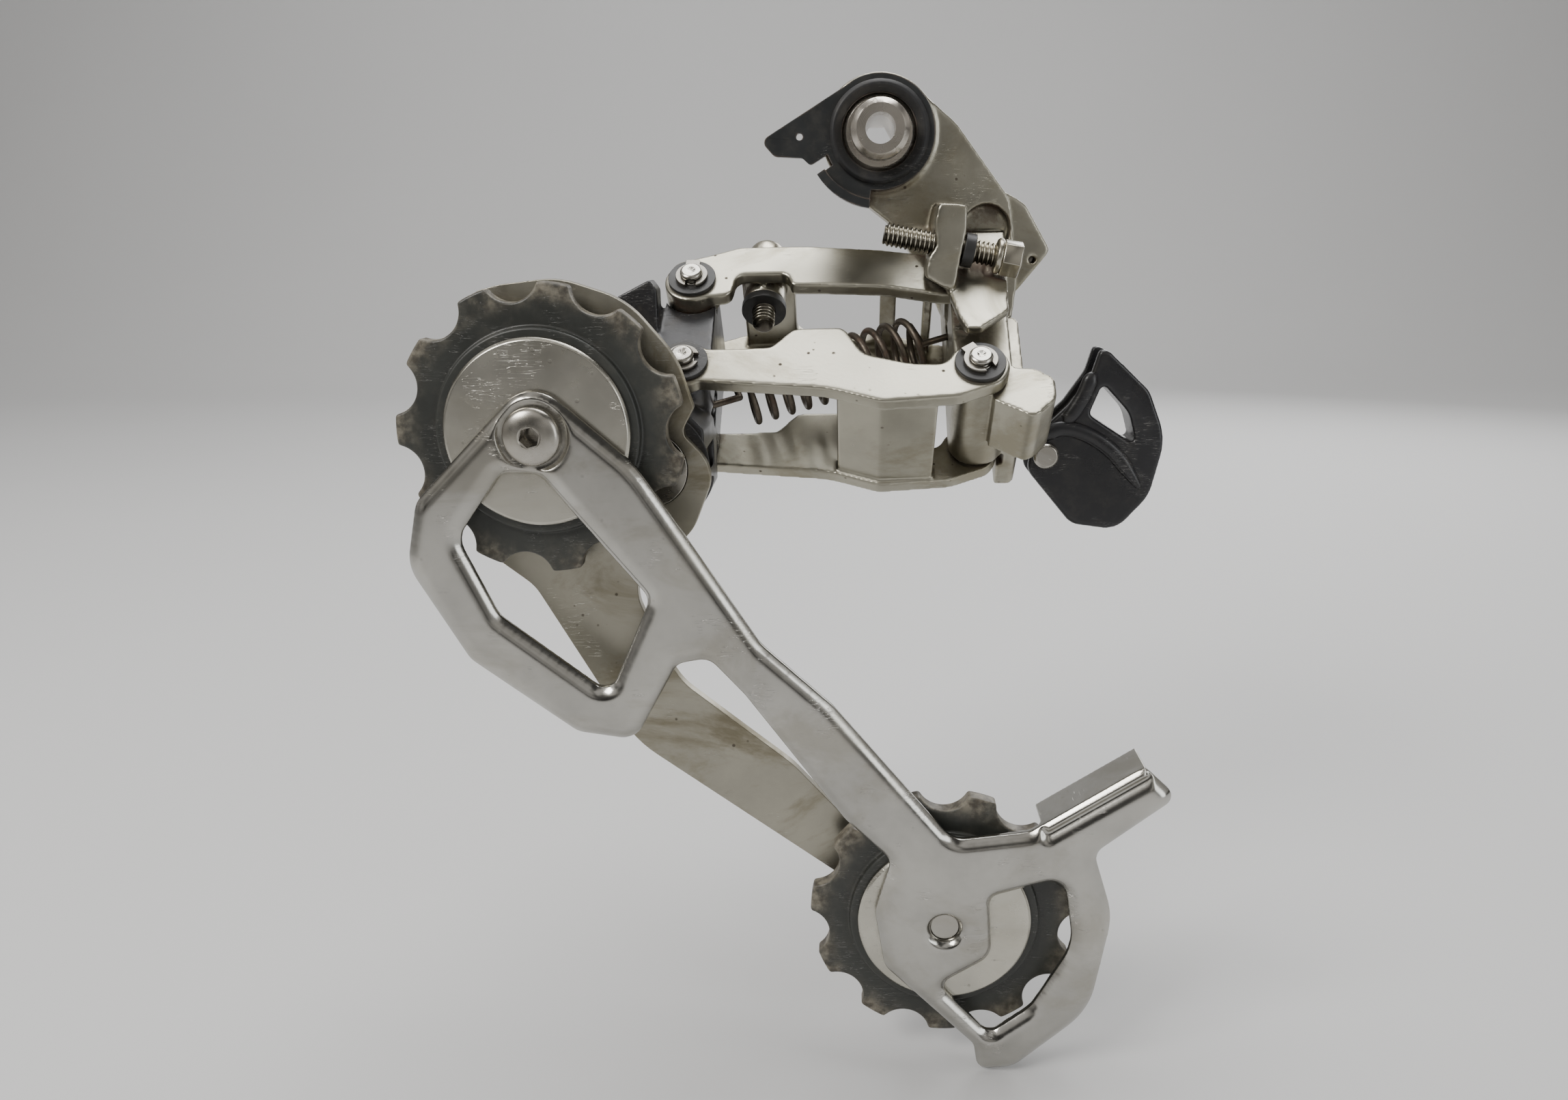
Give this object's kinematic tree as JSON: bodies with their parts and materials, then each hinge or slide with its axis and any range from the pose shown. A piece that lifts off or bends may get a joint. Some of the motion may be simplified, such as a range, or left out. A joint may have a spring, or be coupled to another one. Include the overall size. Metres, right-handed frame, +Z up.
{
  "type": "rear bicycle derailleur",
  "caption": "Long-cage slant-parallelogram rear derailleur with a sprung hanger bolt, sprung cage, toothed guide and tension pulleys, and a rear cable guide cam.",
  "frame": {"origin": "on the mounting bolt axis, at the shoulder face that meets the hanger", "axes": "+X rearward on the bicycle, +Y outboard away from the wheel, +Z up; the bolt screws in along -Y"},
  "size_m": [0.1311, 0.0663, 0.1717],
  "materials": {
    "nickel_steel": "nickel plated, turned",
    "black_plate": "satin black",
    "rubber": "matt",
    "forged_alloy": "satin, champagne silver",
    "polished_alloy": "polished",
    "plate_alloy": "satin, dirty",
    "black_alloy": "satin black anodised",
    "stainless": "bright",
    "spring_steel": "oiled and rusty",
    "bush_polymer": "moulded",
    "pulley_plastic": "worn and greasy",
    "cap_alloy": "satin turned",
    "cam_plastic": "satin black"
  },
  "bodies": {
    "mount": {"mounting_bolt": "nickel_steel", "stopper_plate": "black_plate", "stopper_ring": "rubber"},
    "mount_knuckle": {"mount_knuckle": "forged_alloy", "mount_inner_bush": "bush_polymer", "mount_outer_bush": "bush_polymer", "mount_pivot_spring": "spring_steel", "adjuster_brake": "bush_polymer", "rear_upper_pin": "stainless", "rear_lower_pin": "stainless", "rear_pin_clip": "stainless", "cable_guide_cam": "cam_plastic", "cable_guide_screw": "stainless", "return_spring": "spring_steel"},
    "angle_adjuster": {"angle_adjuster_screw": "stainless"},
    "high_limit": {"high_limit_screw": "stainless"},
    "low_limit": {"low_limit_screw": "stainless"},
    "outer_link": {"outer_link": "forged_alloy", "outer_link_bushes": "bush_polymer", "cable_clamp_plate": "stainless", "cable_anchor_washer": "bush_polymer"},
    "cable_anchor": {"cable_anchor_bolt": "stainless"},
    "inner_link": {"inner_link": "forged_alloy", "inner_link_bushes": "bush_polymer"},
    "cage_knuckle": {"cage_knuckle": "black_alloy", "cage_axle_keeper": "stainless", "front_upper_pin": "stainless", "front_lower_pin": "stainless", "front_pin_clips": "stainless", "cage_axle_bush": "bush_polymer", "cage_pivot_spring": "spring_steel"},
    "cage": {"cage_axle": "stainless", "cage_seal_ring": "rubber", "outer_cage_plate": "plate_alloy", "inner_cage_plate": "polished_alloy", "cage_stop_pin": "stainless", "guide_pulley_bolt": "stainless", "tension_pulley_bolt": "stainless", "guide_pulley_bush": "stainless", "tension_pulley_bush": "stainless", "guide_pulley_dust_caps": "cap_alloy", "tension_pulley_dust_caps": "cap_alloy"},
    "guide_pulley": {"guide_pulley": "pulley_plastic"},
    "tension_pulley": {"tension_pulley": "pulley_plastic"}
  },
  "joints": [
    {"name": "mount_pivot", "type": "hinge", "parent": "mount", "child": "mount_knuckle", "pos_m": [0, 0.01, 0], "axis": [0, 1, 0], "range_deg": [-35, 12], "stiffness_Nm_per_rad": 0.27, "springref_deg": 8.31, "deforming": ["mount_pivot_spring"]},
    {"name": "angle_adjuster_feed", "type": "slide", "parent": "mount_knuckle", "child": "angle_adjuster", "axis": [-0.9794, 0, 0.2019], "range_m": [-0.004, 0.002]},
    {"name": "high_limit_feed", "type": "slide", "parent": "mount_knuckle", "child": "high_limit", "axis": [0, -1, 0], "range_m": [-0.002, 0]},
    {"name": "low_limit_feed", "type": "slide", "parent": "mount_knuckle", "child": "low_limit", "axis": [0, -1, 0], "range_m": [-0.002, 0]},
    {"name": "outer_link_pivot", "type": "hinge", "parent": "mount_knuckle", "child": "outer_link", "pos_m": [0.0167, 0.00605, -0.03692], "axis": [0, -0.6428, 0.766], "range_deg": [-14, 30], "stiffness_Nm_per_rad": 0.3, "springref_deg": -16.04, "deforming": ["return_spring"]},
    {"name": "cable_anchor_screw", "type": "slide", "parent": "outer_link", "child": "cable_anchor", "axis": [0, 0.766, 0.6428], "range_m": [0, 0.0015]},
    {"name": "inner_link_pivot", "type": "hinge", "parent": "mount_knuckle", "child": "inner_link", "pos_m": [0.0167, -0.00958, -0.05004], "axis": [0, -0.6428, 0.766], "range_deg": [-14, 30]},
    {"name": "cage_knuckle_pivot", "type": "hinge", "parent": "outer_link", "child": "cage_knuckle", "pos_m": [-0.0336, 0.00674, -0.03634], "axis": [0, -0.6428, 0.766], "range_deg": [-30, 14]},
    {"name": "cage_pivot", "type": "hinge", "parent": "cage_knuckle", "child": "cage", "pos_m": [-0.038, -0.02, -0.054], "axis": [0, 1, 0], "range_deg": [-28, 75], "stiffness_Nm_per_rad": 0.049, "springref_deg": -11.17, "deforming": ["cage_pivot_spring"]},
    {"name": "guide_pulley_spin", "type": "hinge", "parent": "cage", "child": "guide_pulley", "pos_m": [-0.0545, -0.0348, -0.0466], "axis": [0, 1, 0], "continuous": true},
    {"name": "tension_pulley_spin", "type": "hinge", "parent": "cage", "child": "tension_pulley", "pos_m": [0.0112, -0.0348, -0.1329], "axis": [0, 1, 0], "continuous": true}
  ],
  "couplings": [
    {"joint": "inner_link_pivot", "follows": "outer_link_pivot", "ratio": 1},
    {"joint": "cage_knuckle_pivot", "follows": "outer_link_pivot", "ratio": -1}
  ]
}
